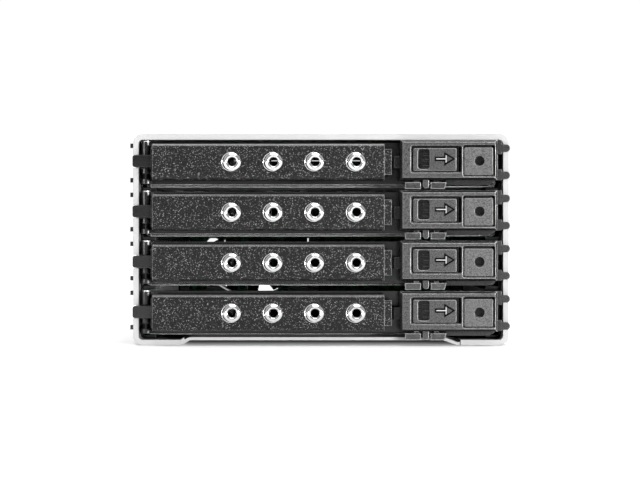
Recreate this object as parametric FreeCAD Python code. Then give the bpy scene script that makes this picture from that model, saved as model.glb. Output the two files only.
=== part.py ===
import FreeCAD, Part
import math
import os
from FreeCAD import Vector

# Four-tray hot swap drive cage for two stacked 5.25 inch bays. Millimetres.
# +X is the cage's right seen from its front, +Y runs to the rear, +Z is up.
# The origin is under the middle of the sleeve's front edge.
# Sizes that end in _from_left or _from_right start at the outer face of that side wall.

# Sleeve: one folded sheet with a butt seam under its right side
cage_width = 146.0
cage_height = 82.0
cage_depth = 146.0
sheet = 1.2
corner_bend = 2.5
joggle_bend = 1.2
floor_rise = 1.9
left_flange = 19.0
left_joggle = 3.0
seam_from_right = 18.8
seam_gap = 0.3
right_joggle = 5.2
hem_ply = 0.9
hem_depth = 6.0
hem_up_joggle = 0.6

# Trays
tray_count = 4
stack_low = 2.975
stack_high = 1.225
run_gap = 0.3
seat_gap = 0.1

# Carrier sheet under and beside the drive
carrier_sheet = 1.0
carrier_from_wall = 3.5
carrier_under = 0.525
carrier_side_clear = 2.25
carrier_from_board = 11.0
carrier_bend = 0.6
carrier_lip_inset = 2.0
carrier_lip_lap = 1.5
carrier_corner = 5.0
carrier_slot_count = 3
carrier_slot_inner = 15.0
carrier_slot_from_side = 15.5
carrier_slot_from_rear = 78.0
carrier_slot_pitch = 24.0
carrier_slot = 16.0

# Screw holes for a 2.5 inch drive in the carrier
drive_hole_x = 61.72
drive_hole_y = 76.6
drive_hole_from_plug = 14.0
drive_hole_r = 1.6

# Tray front frame, with the hinge ears at its left
frame_from_wall = 2.8
frame_clear = 1.625
frame_front = 6.0
frame_depth = 6.0
frame_bar = 2.2
frame_windows = 6
frame_corner = 4.0

# Handle: a folded channel, hinged at the left and caught at the right
handle_from_left = 8.0
handle_from_right = 48.5
handle_clear = 5.45
handle_face = -5.0
handle_back = 1.0
handle_sheet = 1.0
handle_bend = 0.8
tongue_length = 2.8
tongue_inset = 2.1
tongue_set_back = 0.5

# Eyelets in the handle face
eyelet_count = 4
eyelet_pitch = 16.0
eyelet_from_end = 58.7
eyelet_r = 3.45
eyelet_hole_r = 1.6
eyelet_barrel_r = 2.5
eyelet_proud = 0.9

# Hinge of the handle
pin_from_left = 4.8
pin_y = 2.5
pin_r = 1.0
pin_head_r = 1.5
pin_head = 0.4
pin_fit = 0.05
swing_fit = 0.1
ear_r = 2.2
knuckle_low = -1.95
knuckle_high = 2.65
lower_ear_low = -4.2
base_bar_high = -6.4
heel_reach = 4.6
heel_front = -3.3
heel_back = -0.4
heel_corner = 0.9
block_proud = 0.6
block_length = 7.6
block_set_in = 0.2

# Bezel at the right of each tray
bezel_from_right = 42.4
bezel_width = 37.3
bezel_under = 2.725
bezel_clear = 1.325
bezel_face = -6.0
bezel_wall = 1.6
bezel_side = 1.2
bezel_chamfer = 0.9
flange_from_right = 3.0
flange_face = -2.6
skirt_from_right = 24.5
skirt_under = 0.825
skirt_cut = 2.6
notch_depth = 1.6
notch_low = -2.8
notch_high = 3.1
nub_proud = 0.2
nub_height = 2.9
nub_down = 3.0
nub_up = 1.9
nub_back = -0.3
guide_lap = 0.8
guide_under_window = 0.6

# Slide latch in the bezel
window_inset = 4.3
window_width = 18.95
window_up = 3.1
window_down = 2.6
window_corner = 0.6
window_flare = 0.45
slide_gap = 0.7
slide_width = 16.5
slide_side_gap = 0.35
slide_recess = 0.3
slide_plate = 1.3
plate_under = 0.9
plate_over = 0.7
grip_left = 1.7
grip_width = 4.55
grip_depth = 1.1
grip_above_edge = 0.7
grip_below_edge = 0.2
ridge_count = 3
ridge_height = 0.9
ridge_sink = 0.7
ridge_share = 0.45
ridge_start = 1.2
ridge_margin = 1.6
grip_corner = 1.0
slide_corner = 0.5
nose_low = -2.4
nose_high = 2.1
nose_bevel_length = 0.9
nose_bevel_depth = 0.6
nose_root = 2.0
spring_seat_inset = 9.5
spring_seat_depth = 1.9
spring_seat_in_nose = 1.0
rib = 1.0

# Square release button in the bezel
button_pillar = 1.05
button_well_width = 12.0
button_well_up = 1.6
button_well_down = 2.3
button_gap = 0.3
button_shade_gap = 0.7
button_corner = 0.4
button_recess = 0.35
button_depth = 3.1
button_travel = 1.2
button_lip = 0.5
button_hole_inset = 6.1
button_hole_z = 0.27
button_hole_r = 1.6
button_hole_depth = 2.4
button_sink = 0.4
button_post_gap = 2.0
button_post_half = 3.0

# Springs behind the latch and the button
spring_strip = 0.2
spring_width = 2.4
spring_folds = 5
latch_spring_behind = 1.35
latch_spring_reach = 0.55
button_spring_reach = 1.8

# Light pipes, from lamps on the backplane to lenses under the bezel
lens_insets = (2.0, 11.9)
lens_width = 5.95
lens_under = 0.675
lens_height = 2.5
lens_cut = 0.7
lens_front = -4.0
lens_back = -0.4
pipe_width = 1.6
pipe_height = 1.8
pipe_insets = (4.3, 2.2)
pipe_step_lead = 0.5
pipe_step_tail = 2.5
tab_width = 2.3
tab_above_lens = 0.2

# Guide rails on the inside of each side wall
rail_front = 10.0
rail_web = 1.2
rail_web_half = 3.6
rail_ledge = 1.5
rail_reach = 6.4
rail_bar = 7.0
rail_bar_from_rear = 92.0
rail_post_depth = 9.4
rail_post_width = 8.2
hook_length = 2.5
hook_height = 1.8
hook_proud = 2.6
hook_under_border = 2.5
hook_over_border = 3.3

# Backplane board and what is soldered to it
board_from_rear = 13.0
board_thick = 1.6
board_margin = 2.6
air_slots = 3
air_slot_from_left = 17.0
air_slot_pitch = 20.0
air_slot_width = 15.0
air_slot_margin = 2.5
socket_width = 43.0
socket_height = 6.2
socket_depth = 8.0
socket_up = 0.9
socket_slot_height = 2.4
socket_slot_depth = 6.0
socket_slot_inset = 3.5
socket_key = 1.6
socket_tongue_half = 0.5
socket_tongue_back = 1.0
lamp_size = 1.4
lamp_gap = 0.3
port_width = 16.6
port_height = 7.2
port_from_right = 51.0
port_slot_width = 10.6
port_slot_height = 2.5
port_floor = 3.0
port_key = 1.2
port_tongue_gap = 1.0
port_tongue_low = -0.1
port_tongue_high = 0.8
inlet_width = 23.0
inlet_height = 9.6
inlet_from_right = 21.0
inlet_count = 2
inlet_wall = 1.2
inlet_pin_half = 0.95
inlet_pin_pitch = 5.08
inlet_pins = 4
inlet_corner = 2.2
inlet_floor = 2.0
inlet_pin_sunk = 2.5
connector_inset = 0.5

# Rear panel and fan
panel_sheet = 1.0
panel_flange = 9.0
fan_size = 60.0
fan_depth = 15.0
fan_from_left = 39.0
fan_hole_pitch = 50.0
fan_bore_r = 28.5
fan_hub_r = 14.0
fan_hole_r = 2.15
fan_corner = 3.0
blade_count = 7
blade_thick = 1.2
blade_lean = 52.0
strut_width = 3.0
strut_depth = 2.4
strut_turn = 20.0
bush_r = 3.4
bush_set_back = 5.0
shaft_r = 1.5
shaft_end = 0.8
fan_flange = 3.2
fan_wall = 1.4
rotor_gap = 0.6
cup_wall = 1.2
cup_floor = 1.4
rim_gap = 1.2
blade_set_in = 0.4
guard_wire = 1.4
guard_sheet = 1.0
guard_rings = 3
guard_eye_share = 0.55

# Fasteners
screw_r = 1.5
screw_head_r = 2.8
screw_head = 1.8
fan_screw_r = 1.9
fan_screw_head_r = 3.4
fan_screw_crown_r = 2.7
board_screw_lead = 2.0
rivet_r = 1.5
rivet_head_r = 2.8
rivet_head = 1.1
rivet_tail = 0.7

# Tapped holes in the side walls, in the pattern of 5.25 inch drives
side_hole_r = 1.5
side_hole_clear = 0.9
side_hole_from_rear = 93.7
side_hole_pitch_y = 79.25
side_hole_low = 10.0
side_hole_high = 21.84
bay_height = 41.3

# Worked out from the sizes above
half_width = cage_width / 2
seam_x = half_width - seam_from_right
wall_in = half_width - sheet
floor_top = floor_rise + sheet
middle_z = cage_height / 2
tray_pitch = (cage_height - stack_low - stack_high) / tray_count
half_pitch = tray_pitch / 2
tray_centres = [stack_low + half_pitch + i * tray_pitch for i in range(tray_count)]
board_front = cage_depth - board_from_rear
carrier_half = half_width - carrier_from_wall
carrier_drop = half_pitch - carrier_under
carrier_side = tray_pitch - carrier_side_clear
carrier_rear = board_front - carrier_from_board
carrier_floor = carrier_sheet - carrier_drop
frame_back = frame_front + frame_depth
frame_half = half_width - frame_from_wall
frame_top = half_pitch - frame_clear
handle_left = -half_width + handle_from_left
handle_right = half_width - handle_from_right
handle_height = tray_pitch - handle_clear
tongue_height = handle_height - 2 * tongue_inset
first_eyelet = handle_right - eyelet_from_end
pin_x = -half_width + pin_from_left
block_left = handle_left - block_proud
heel_sweep = math.hypot(heel_reach, pin_y - heel_back)
bezel_left = half_width - bezel_from_right
bezel_right = bezel_left + bezel_width
bezel_low = bezel_under - half_pitch
bezel_high = half_pitch - bezel_clear
flange_right = half_width - flange_from_right
skirt_left = half_width - skirt_from_right
skirt_low = skirt_under - half_pitch
nub_right = half_width + nub_proud
nub_centres = (bezel_high - nub_down, bezel_low + nub_up)
window_left = bezel_left + window_inset
window_right = window_left + window_width
window_low = bezel_low + window_up
window_high = bezel_high - window_down
well_left = window_right + button_pillar
well_right = well_left + button_well_width
well_low = bezel_low + button_well_up
well_high = bezel_high - button_well_down
button_left = well_left + button_gap
button_right = well_right - button_shade_gap
button_low = well_low + button_gap
button_high = well_high - button_shade_gap
button_hole_x = well_left + button_hole_inset
lens_lefts = [bezel_left + inset for inset in lens_insets]
lens_low = -half_pitch - lens_under
lens_high = lens_low + lens_height
button_face = bezel_face + button_recess
button_back = button_face + button_depth
slide_left = window_left + slide_gap
slide_right = slide_left + slide_width
slide_face = bezel_face + slide_recess
plate_front = bezel_face + bezel_wall + run_gap
plate_back = plate_front + slide_plate
board_back = board_front + board_thick
connector_back = cage_depth - connector_inset
air_slot_left = -half_width + air_slot_from_left
port_x = half_width - port_from_right
inlet_x = half_width - inlet_from_right
fan_x = -half_width + fan_from_left
side_hole_y = cage_depth - side_hole_from_rear
rail_bar_y = cage_depth - rail_bar_from_rear
drive_plug = board_front - socket_depth
fan_front = cage_depth
fan_back = fan_front + fan_depth
panel_front = cage_depth - panel_sheet
rail_rear = board_front - seat_gap
post_front = rail_rear - rail_post_depth
rail_ledge_top = carrier_drop + run_gap

AXES = {
    "x": lambda u, v, w: Vector(w, u, v),
    "y": lambda u, v, w: Vector(u, w, v),
    "z": lambda u, v, w: Vector(u, v, w),
}


def unit(vector):
    """Copy of a vector with length one."""
    copy = Vector(vector)
    copy.normalize()
    return copy


def corner_arc(before, here, after, radius):
    """Start, middle and end of the arc that rounds one corner."""
    back = unit(before - here)
    ahead = unit(after - here)
    half = back.getAngle(ahead) / 2
    cut = radius / math.tan(half)
    middle = here + unit(back + ahead) * (radius / math.sin(half) - radius)
    return here + back * cut, middle, here + ahead * cut


def prism(axis, low, high, corners):
    """Solid between two heights along an axis. Each corner is (u, v) or (u, v, radius)."""
    place = AXES[axis]
    points = [place(corner[0], corner[1], low) for corner in corners]
    radii = [corner[2] if len(corner) > 2 else 0 for corner in corners]
    count = len(points)
    edges = []
    ends = []
    for i in range(count):
        if radii[i] > 0:
            start, middle, end = corner_arc(points[i - 1], points[i], points[(i + 1) % count], radii[i])
            edges.append(Part.Arc(start, middle, end).toShape())
            ends.append((start, end))
        else:
            ends.append((points[i], points[i]))
    for i in range(count):
        start = ends[i][1]
        end = ends[(i + 1) % count][0]
        if (end - start).Length > 1e-6:
            edges.append(Part.LineSegment(start, end).toShape())
    wire = Part.Wire(Part.__sortEdges__(edges))
    return Part.Face(wire).extrude(place(0, 0, high - low))


def pad(axis, low, high, u0, u1, v0, v1, radius=0):
    """Rectangular block along an axis, with its four long edges rounded."""
    return prism(axis, low, high, [(u0, v0, radius), (u1, v0, radius), (u1, v1, radius), (u0, v1, radius)])


def clipped(axis, low, high, u0, u1, v0, v1, cut):
    """Rectangular block along an axis, with its four long edges cut off at 45 degrees."""
    return prism(axis, low, high, [
        (u0 + cut, v0), (u1 - cut, v0), (u1, v0 + cut), (u1, v1 - cut),
        (u1 - cut, v1), (u0 + cut, v1), (u0, v1 - cut), (u0, v0 + cut)])


def flared(front, depth, u0, u1, v0, v1, radius, flare):
    """Cutter along Y that is wider by flare at the front and has its own size at depth."""
    wires = []
    for y, more in ((front, flare), (front + depth, 0)):
        outline = pad("y", y, y + 1, u0 - more, u1 + more, v0 - more, v1 + more, radius + more)
        wires.append([face for face in outline.Faces if face.BoundBox.YMax < y + 0.5][0].OuterWire)
    return Part.makeLoft(wires, True, True)


def box(x0, x1, y0, y1, z0, z1):
    """Plain block between two corners."""
    return Part.makeBox(x1 - x0, y1 - y0, z1 - z0, Vector(x0, y0, z0))


def rod(radius, start, end):
    """Round bar between two points."""
    way = Vector(*end) - Vector(*start)
    return Part.makeCylinder(radius, way.Length, Vector(*start), way)


def cone(r_start, r_end, start, end):
    """Tapered round bar between two points."""
    way = Vector(*end) - Vector(*start)
    return Part.makeCone(r_start, r_end, way.Length, Vector(*start), way)


def joined(shapes):
    """One clean solid from overlapping shapes."""
    return shapes[0].multiFuse(shapes[1:]).removeSplitter()


def folded(corners, thick):
    """Outline of a sheet that follows (u, v, inside bend), with its thickness to the right of the way."""
    points = [Vector(u, v, 0) for u, v, bend in corners]
    ways = [unit(points[i + 1] - points[i]) for i in range(len(points) - 1)]
    near, far = [], []
    for i, (u, v, bend) in enumerate(corners):
        before = ways[max(i - 1, 0)]
        after = ways[min(i, len(ways) - 1)]
        side = Vector(before.y, -before.x, 0)
        mitre = unit(side + Vector(after.y, -after.x, 0))
        inner = points[i] + mitre * (thick / mitre.dot(side))
        turns_in = before.cross(after).z < 0
        near_r = bend + thick if turns_in else bend
        far_r = bend if turns_in else bend + thick
        if bend == 0:
            near_r = far_r = 0
        near.append((u, v, near_r))
        far.append((inner.x, inner.y, far_r))
    return near + far[::-1]


def save(name, shape):
    """Write one sub-part."""
    shape.exportStep("parts/" + name + ".step")


# ---------------------------------------------------------------- sleeve

def side_hole_places():
    """(y, z) of the tapped holes of one side wall."""
    places = []
    for y in (side_hole_y, side_hole_y + side_hole_pitch_y):
        for bay in (0, bay_height):
            places.append((y, side_hole_low + bay))
            places.append((y, side_hole_high + bay))
    return places


def hook_heights():
    """Centre heights of the snap hooks of the left guide rail."""
    heights = []
    for centre in tray_centres:
        heights += [centre + half_pitch - hook_under_border, centre - half_pitch + hook_over_border]
    return heights


def rivet_places():
    """(y, z) of the rivets of one side wall: through the guide rail, then through the rear panel."""
    rail_y = rail_bar_y + rail_bar / 2
    panel_y = cage_depth - panel_flange / 2 - panel_sheet / 2
    rail = [(rail_y, centre) for centre in (tray_centres[0], tray_centres[-1])]
    return rail, [(panel_y, middle_z - cage_height / 4), (panel_y, middle_z + cage_height / 4)]


def housing():
    """Sleeve with side flanges below, a raised floor between two joggles, a seam and a hemmed front edge."""
    left_end = -half_width + left_flange
    outline = folded([
        (seam_x - seam_gap / 2, 0, 0),
        (seam_x - seam_gap / 2 - sheet, 0, joggle_bend / 4),
        (seam_x - seam_gap / 2 - sheet - right_joggle, floor_rise, joggle_bend),
        (left_end + left_joggle, floor_rise, joggle_bend),
        (left_end, 0, joggle_bend),
        (-half_width, 0, corner_bend),
        (-half_width, cage_height, corner_bend),
        (half_width, cage_height, corner_bend),
        (half_width, 0, corner_bend),
        (seam_x + seam_gap / 2, 0, 0),
    ], sheet)
    hem_bend = corner_bend - hem_ply
    hem = folded([
        (left_end + left_joggle * hem_up_joggle, floor_rise * hem_up_joggle, 0),
        (left_end, 0, joggle_bend),
        (-half_width, 0, hem_bend),
        (-half_width, cage_height, hem_bend),
        (half_width, cage_height, hem_bend),
        (half_width, 0, hem_bend),
        (seam_x + seam_gap / 2, 0, 0),
    ], sheet + hem_ply)
    sleeve = joined([prism("y", 0, cage_depth, outline), prism("y", 0, hem_depth, hem)])
    cuts = []
    for centre in tray_centres:
        low = centre + knuckle_low - run_gap
        high = centre + knuckle_high + run_gap
        back = pin_y + heel_sweep + 2 * run_gap
        cuts.append(box(-half_width - 1, -wall_in + hem_ply + 1, -1, back, low, high))
    for z in hook_heights():
        low = z - hook_height / 2 - seat_gap
        cuts.append(box(-half_width - 1, -wall_in + 1, rail_front - seat_gap,
                        rail_front + hook_length + seat_gap, low, low + hook_height + 2 * seat_gap))
    for y, z in side_hole_places():
        cuts.append(rod(side_hole_r, (-half_width - 1, y, z), (half_width + 1, y, z)))
    rail, panel = rivet_places()
    for y, z in rail:
        cuts.append(rod(rivet_r + pin_fit, (0, y, z), (half_width + 1, y, z)))
    for y, z in panel:
        cuts.append(rod(rivet_r + pin_fit, (-half_width - 1, y, z), (half_width + 1, y, z)))
    return sleeve.cut(cuts)


def rail_strips():
    """(low, high, ledge top) of each wall strip, from the lowest tray's to the one above the top tray."""
    strips = []
    for i in range(tray_count + 1):
        border = tray_centres[0] + (i - 0.5) * tray_pitch
        ledge_top = tray_centres[0] + i * tray_pitch - rail_ledge_top
        strips.append((border - rail_web_half, border + rail_web_half, ledge_top))
    return strips


def guide_rail(side):
    """Moulded rail of one side: wall strips with ledges, upright bars and a rear post. side is -1 or +1."""
    def block(inner, outer, y0, y1, z0, z1):
        return box(min(side * inner, side * outer), max(side * inner, side * outer), y0, y1, z0, z1)

    web_in = wall_in - rail_web
    shapes = []
    for i, (low, high, ledge_top) in enumerate(rail_strips()):
        shapes.append(block(web_in, wall_in, rail_front, rail_rear, low, high))
        if i < tray_count:
            shapes.append(block(wall_in - rail_reach, wall_in, rail_front, rail_rear,
                                ledge_top - rail_ledge, ledge_top))
    shapes.append(block(web_in, wall_in, rail_bar_y, rail_bar_y + rail_bar, 0, cage_height))
    shapes.append(block(wall_in - rail_post_width, wall_in, post_front, rail_rear, 0, cage_height))
    rail = joined(shapes)
    inside = pad("y", 0, cage_depth, -wall_in + seat_gap, wall_in - seat_gap,
                 sheet + seat_gap, cage_height - sheet - seat_gap, corner_bend - seat_gap)
    rail = rail.common(inside)
    cuts = []
    for y, z in side_hole_places():
        wide = side_hole_r + side_hole_clear
        cuts.append(rod(wide, (side * (web_in - 1), y, z), (side * half_width, y, z)))
    if side > 0:
        for y, z in rivet_places()[0]:
            cuts.append(rod(rivet_r + pin_fit, (web_in - 1, y, z), (half_width, y, z)))
    for x, z in board_screw_places():
        if x * side > 0:
            cuts.append(rod(screw_r + pin_fit, (x, post_front + 1, z), (x, rail_rear + 1, z)))
    rail = rail.cut(cuts)
    if side < 0:
        rail = joined([rail] + [rail_hook(z) for z in hook_heights()])
    return rail


def rail_hook(z):
    """Snap hook that reaches out through the left wall and turns up its lip outside it."""
    outer = half_width + hook_proud
    return prism("z", z - hook_height / 2, z + hook_height / 2, [
        (-wall_in + rail_web, rail_front),
        (-wall_in + rail_web, rail_front + hook_length),
        (-half_width, rail_front + hook_length),
        (-outer, rail_front + hook_length / 2),
        (-outer, rail_front),
    ])


# ---------------------------------------------------------------- rear

def board_screw_places():
    """(x, z) of the four screws that hold the board to the rail posts."""
    x = wall_in - rail_post_width / 2
    z = (tray_centres[0], tray_centres[-1])
    return [(side * x, height) for side in (-1, 1) for height in z]


def backplane_board():
    """Circuit board with air slots between the drive sockets."""
    low = sheet + board_margin
    edge = wall_in - board_margin / 2
    board = clipped("y", board_front, board_back, -edge, edge, low, cage_height - low, board_margin / 2)
    cuts = []
    for centre in tray_centres[:-1]:
        top = centre + carrier_floor + socket_up + socket_height
        for i in range(air_slots):
            x = air_slot_left + i * air_slot_pitch
            cuts.append(clipped("y", board_front - 1, board_back + 1, x, x + air_slot_width,
                                top + air_slot_margin,
                                top + tray_pitch - socket_height - air_slot_margin, 1.5))
    for x, z in board_screw_places():
        cuts.append(rod(screw_r + seat_gap, (x, board_front - 1, z), (x, board_back + 1, z)))
    return board.cut(cuts)


def drive_sockets():
    """Four sockets for the drives' plugs, each with one long slot and its key step."""
    solids = []
    half = socket_width / 2
    for centre in tray_centres:
        low = centre + carrier_floor + socket_up
        body = box(-half, half, drive_plug, board_front, low, low + socket_height)
        mid = low + socket_height / 2
        inner = half - socket_slot_inset
        slot = box(-inner, inner, drive_plug - 1, drive_plug + socket_slot_depth,
                   mid - socket_slot_height / 2, mid + socket_slot_height / 2)
        key = box(-inner, -inner + socket_key, drive_plug - 1, drive_plug + socket_slot_depth,
                  mid - socket_slot_height, mid)
        tongue = box(-inner + socket_key, inner - socket_key, drive_plug + socket_tongue_back,
                     drive_plug + socket_slot_depth, mid - socket_tongue_half, mid + socket_tongue_half)
        solids.append(joined([body.cut([slot, key]), tongue]))
    return Part.makeCompound(solids)


def pipe_lefts():
    """Left side of each light pipe."""
    return [lens + inset for lens, inset in zip(lens_lefts, pipe_insets)]


def status_lamps():
    """Lamps on the board, one behind the end of each light pipe."""
    solids = []
    for centre in tray_centres:
        for left in pipe_lefts():
            x = left + pipe_width / 2
            z = centre + carrier_floor + pipe_height / 2
            half = lamp_size / 2
            solids.append(box(x - half, x + half, board_front - lamp_size, board_front, z - half, z + half))
    return Part.makeCompound(solids)


def data_ports():
    """One data port for each drive on the back of the board."""
    solids = []
    for centre in tray_centres:
        body = box(port_x - port_width / 2, port_x + port_width / 2, board_back, connector_back,
                   centre - port_height / 2, centre + port_height / 2)
        left = port_x - port_slot_width / 2
        right = port_x + port_slot_width / 2
        floor = board_back + port_floor
        slot = box(left, right, floor, connector_back + 1,
                   centre - port_slot_height / 2, centre + port_slot_height / 2)
        step = box(left, left + port_key, floor, connector_back + 1, centre - port_slot_height, centre)
        tongue = box(left + port_key, right - port_tongue_gap, floor, connector_back - port_tongue_gap,
                     centre + port_tongue_low, centre + port_tongue_high)
        solids.append(joined([body.cut([slot, step]), tongue]))
    return Part.makeCompound(solids)


def inlet_heights():
    """Centre heights of the power inlets."""
    gap = 2 * tray_pitch
    return [middle_z + (i - (inlet_count - 1) / 2) * gap for i in range(inlet_count)]


def power_inlets():
    """Power inlets: an open shell with two cut corners, and its pins."""
    solids = []
    half = inlet_width / 2
    for z in inlet_heights():
        low, high = z - inlet_height / 2, z + inlet_height / 2
        body = box(inlet_x - half, inlet_x + half, board_back, connector_back, low, high)
        left, right = inlet_x - half + inlet_wall, inlet_x + half - inlet_wall
        mouth = prism("y", board_back + inlet_floor, connector_back + 1, [
            (left, low + inlet_wall), (right, low + inlet_wall),
            (right, high - inlet_wall - inlet_corner), (right - inlet_corner, high - inlet_wall),
            (left + inlet_corner, high - inlet_wall), (left, high - inlet_wall - inlet_corner)])
        pins = []
        for i in range(inlet_pins):
            x = inlet_x + (i - (inlet_pins - 1) / 2) * inlet_pin_pitch
            pins.append(box(x - inlet_pin_half, x + inlet_pin_half, board_back + inlet_floor - 0.5,
                            connector_back - inlet_pin_sunk,
                            z - inlet_pin_half, z + inlet_pin_half))
        solids.append(joined([body.cut(mouth)] + pins))
    return Part.makeCompound(solids)


def fan_hole_places():
    """(x, z) of the fan's four screws."""
    half = fan_hole_pitch / 2
    return [(fan_x + i * half, middle_z + j * half) for i in (-1, 1) for j in (-1, 1)]


def rear_panel():
    """Rear panel with side flanges, the fan opening and windows for the ports and inlets."""
    edge = wall_in - seat_gap
    outline = folded([
        (-edge, cage_depth - panel_flange, 0),
        (-edge, cage_depth, panel_sheet),
        (edge, cage_depth, panel_sheet),
        (edge, cage_depth - panel_flange, 0),
    ], panel_sheet)
    low = floor_top + run_gap
    high = cage_height - sheet - run_gap
    panel = prism("z", low, high, outline)
    trim = pad("y", 0, cage_depth + 1, -edge, edge, low, high, corner_bend)
    panel = panel.common(trim)
    cuts = [rod(fan_bore_r, (fan_x, panel_front - 1, middle_z), (fan_x, cage_depth + 1, middle_z))]
    for x, z in fan_hole_places():
        cuts.append(rod(fan_screw_r + pin_fit, (x, panel_front - 1, z), (x, cage_depth + 1, z)))
    for centre in tray_centres:
        cuts.append(box(port_x - port_width / 2 - run_gap, port_x + port_width / 2 + run_gap,
                        panel_front - 1, cage_depth + 1, centre - port_height / 2 - run_gap,
                        centre + port_height / 2 + run_gap))
    for z in inlet_heights():
        cuts.append(box(inlet_x - inlet_width / 2 - run_gap, inlet_x + inlet_width / 2 + run_gap,
                        panel_front - 1, cage_depth + 1, z - inlet_height / 2 - run_gap,
                        z + inlet_height / 2 + run_gap))
    for y, z in rivet_places()[1]:
        cuts.append(rod(rivet_r + pin_fit, (-half_width, y, z), (half_width, y, z)))
    return panel.cut(cuts)


def fan_frame():
    """Fan frame: two square flanges on a round tube, four struts and a hub plate with the bearing bush."""
    half = fan_size / 2
    frame = pad("y", fan_front, fan_back, fan_x - half, fan_x + half,
                middle_z - half, middle_z + half, fan_corner)
    bore = rod(fan_bore_r, (fan_x, fan_front - 1, middle_z), (fan_x, fan_back + 1, middle_z))
    holes = []
    for x, z in fan_hole_places():
        holes.append(rod(fan_hole_r, (x, fan_front - 1, z), (x, fan_back + 1, z)))
    frame = frame.cut([bore] + holes)
    between = box(fan_x - fan_size, fan_x + fan_size, fan_front + fan_flange, fan_back - fan_flange,
                  middle_z - fan_size, middle_z + fan_size)
    tube = rod(fan_bore_r + fan_wall, (fan_x, fan_front, middle_z), (fan_x, fan_back, middle_z))
    frame = frame.cut(between.cut(tube))
    strut_front = fan_back - strut_depth
    parts = [frame, rod(fan_hub_r, (fan_x, strut_front, middle_z), (fan_x, fan_back, middle_z))]
    parts.append(rod(bush_r, (fan_x, fan_front + bush_set_back, middle_z), (fan_x, fan_back, middle_z)))
    reach = fan_bore_r + fan_wall / 2
    for i in range(4):
        strut = box(0, reach, strut_front, fan_back, -strut_width / 2, strut_width / 2)
        strut.rotate(Vector(0, 0, 0), Vector(0, 1, 0), 90 * i + strut_turn)
        strut.translate(Vector(fan_x, 0, middle_z))
        parts.append(strut)
    shaft_bore = rod(shaft_r + pin_fit, (fan_x, fan_front, middle_z), (fan_x, fan_back - shaft_end, middle_z))
    return joined(parts).cut(shaft_bore)


def fan_rotor():
    """Rotor: a cup over the bush, its shaft and seven leaning blades."""
    front = fan_front + rotor_gap
    back = fan_back - strut_depth - rotor_gap
    cup = rod(fan_hub_r, (fan_x, front, middle_z), (fan_x, back, middle_z))
    hollow = rod(fan_hub_r - cup_wall, (fan_x, front + cup_floor, middle_z), (fan_x, back + 1, middle_z))
    shaft = rod(shaft_r, (fan_x, front + 1, middle_z), (fan_x, fan_back - shaft_end - rotor_gap, middle_z))
    parts = [cup.cut(hollow), shaft]
    rim = fan_bore_r - rim_gap
    depth = back - front - 2 * blade_set_in
    for i in range(blade_count):
        blade = blade_solid(front + blade_set_in, depth, rim)
        blade.rotate(Vector(0, 0, 0), Vector(0, 1, 0), 360.0 / blade_count * i)
        blade.translate(Vector(fan_x, 0, middle_z))
        parts.append(blade)
    keep = rod(rim, (fan_x, front, middle_z), (fan_x, back, middle_z))
    return joined(parts).common(keep)


def blade_solid(front, depth, rim):
    """One blade along +X, leaning in the Y-Z plane and trimmed by the rim later."""
    lean = math.radians(blade_lean)
    rise = depth * math.tan(lean) / 2
    thick = blade_thick / math.cos(lean) / 2
    return prism("x", fan_hub_r - cup_wall / 2, rim + 2, [
        (front, -rise - thick), (front, -rise + thick), (front + depth / 2, rise * 0.15 + thick, depth),
        (front + depth, rise + thick), (front + depth, rise - thick),
        (front + depth / 2, rise * 0.15 - thick, depth)])


def fan_guard():
    """Stamped finger guard: flat rings on four spokes that end in eyes under the fan screws."""
    front = fan_back
    back = fan_back + guard_sheet
    centre = (fan_x, front, middle_z)
    far = (fan_x, back, middle_z)
    inner = fan_hub_r * guard_eye_share
    step = (fan_bore_r - inner) / (guard_rings - 1)
    parts = []
    for i in range(guard_rings):
        outer = inner + i * step + guard_wire / 2
        parts.append(rod(outer, centre, far).cut(rod(outer - guard_wire, (fan_x, front - 1, middle_z),
                                                     (fan_x, back + 1, middle_z))))
    holes = []
    for x, z in fan_hole_places():
        parts.append(rod(fan_screw_head_r, (x, front, z), (x, back, z)))
        holes.append(rod(fan_screw_r + pin_fit, (x, front - 1, z), (x, back + 1, z)))
    reach = fan_hole_pitch / math.sqrt(2) - fan_screw_r
    for i in range(4):
        spoke = box(inner, reach, front, back, -guard_wire, guard_wire)
        spoke.rotate(Vector(0, 0, 0), Vector(0, 1, 0), 90 * i + 45)
        spoke.translate(Vector(fan_x, 0, middle_z))
        parts.append(spoke)
    return joined(parts).cut(holes)


def fan_screws():
    """Four long screws with flat round heads, through guard and fan into the panel."""
    solids = []
    seat = fan_back + guard_sheet
    for x, z in fan_hole_places():
        shank = rod(fan_screw_r, (x, panel_front - 1, z), (x, seat, z))
        head = cone(fan_screw_head_r, fan_screw_crown_r, (x, seat, z), (x, seat + screw_head, z))
        solids.append(joined([shank, head]))
    return Part.makeCompound(solids)


def board_screws():
    """Four screws through the board into the rail posts."""
    solids = []
    for x, z in board_screw_places():
        shank = rod(screw_r, (x, post_front + board_screw_lead, z), (x, board_back, z))
        head = rod(screw_head_r, (x, board_back, z), (x, board_back + screw_head, z))
        solids.append(joined([shank, head]))
    return Part.makeCompound(solids)


def case_rivets():
    """Blind rivets: the right guide rail's, through its wall, and the rear panel's, through both walls."""
    rail, panel = rivet_places()
    places = [(1, y, z, wall_in - seat_gap - rail_web) for y, z in rail]
    for side in (-1, 1):
        places += [(side, y, z, wall_in - seat_gap - panel_sheet) for y, z in panel]
    solids = []
    for side, y, z, inner in places:
        shank = rod(rivet_r, (side * (inner - rivet_tail), y, z), (side * half_width, y, z))
        head = cone(rivet_head_r, rivet_head_r * 0.6, (side * half_width, y, z),
                    (side * (half_width + rivet_head), y, z))
        solids.append(joined([shank, head]))
    return Part.makeCompound(solids)


# ---------------------------------------------------------------- tray

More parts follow.
